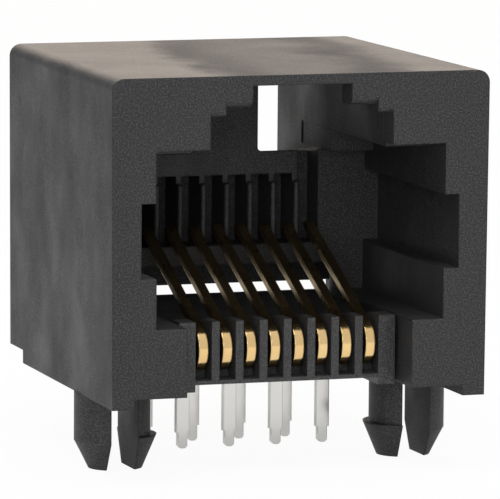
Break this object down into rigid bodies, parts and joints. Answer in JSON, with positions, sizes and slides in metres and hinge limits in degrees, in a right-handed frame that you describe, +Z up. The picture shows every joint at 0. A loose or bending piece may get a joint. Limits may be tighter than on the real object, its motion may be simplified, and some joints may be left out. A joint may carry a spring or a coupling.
{
  "type": "rj45 board jack",
  "caption": "Board-mounted modular jack: a boxy black housing with a stepped plug opening, gold spring contacts, solder tails and split snap pegs.",
  "frame": {"origin": "on the circuit board's top face, midway between the two board pegs", "axes": "+Z up from the board, -Y out of the plug opening, +X to the right seen from the front"},
  "size_m": [0.016, 0.0152, 0.0163],
  "materials": {
    "housing_plastic": "fine spark-textured black polyester",
    "insert_plastic": "satin black polyester",
    "contact_metal": "gold-plated springs, tin-plated tails"
  },
  "bodies": {
    "root": {"housing": "housing_plastic", "contact_insert": "insert_plastic", "contact_1": "contact_metal", "contact_2": "contact_metal", "contact_3": "contact_metal", "contact_4": "contact_metal", "contact_5": "contact_metal", "contact_6": "contact_metal", "contact_7": "contact_metal", "contact_8": "contact_metal"}
  },
  "joints": []
}
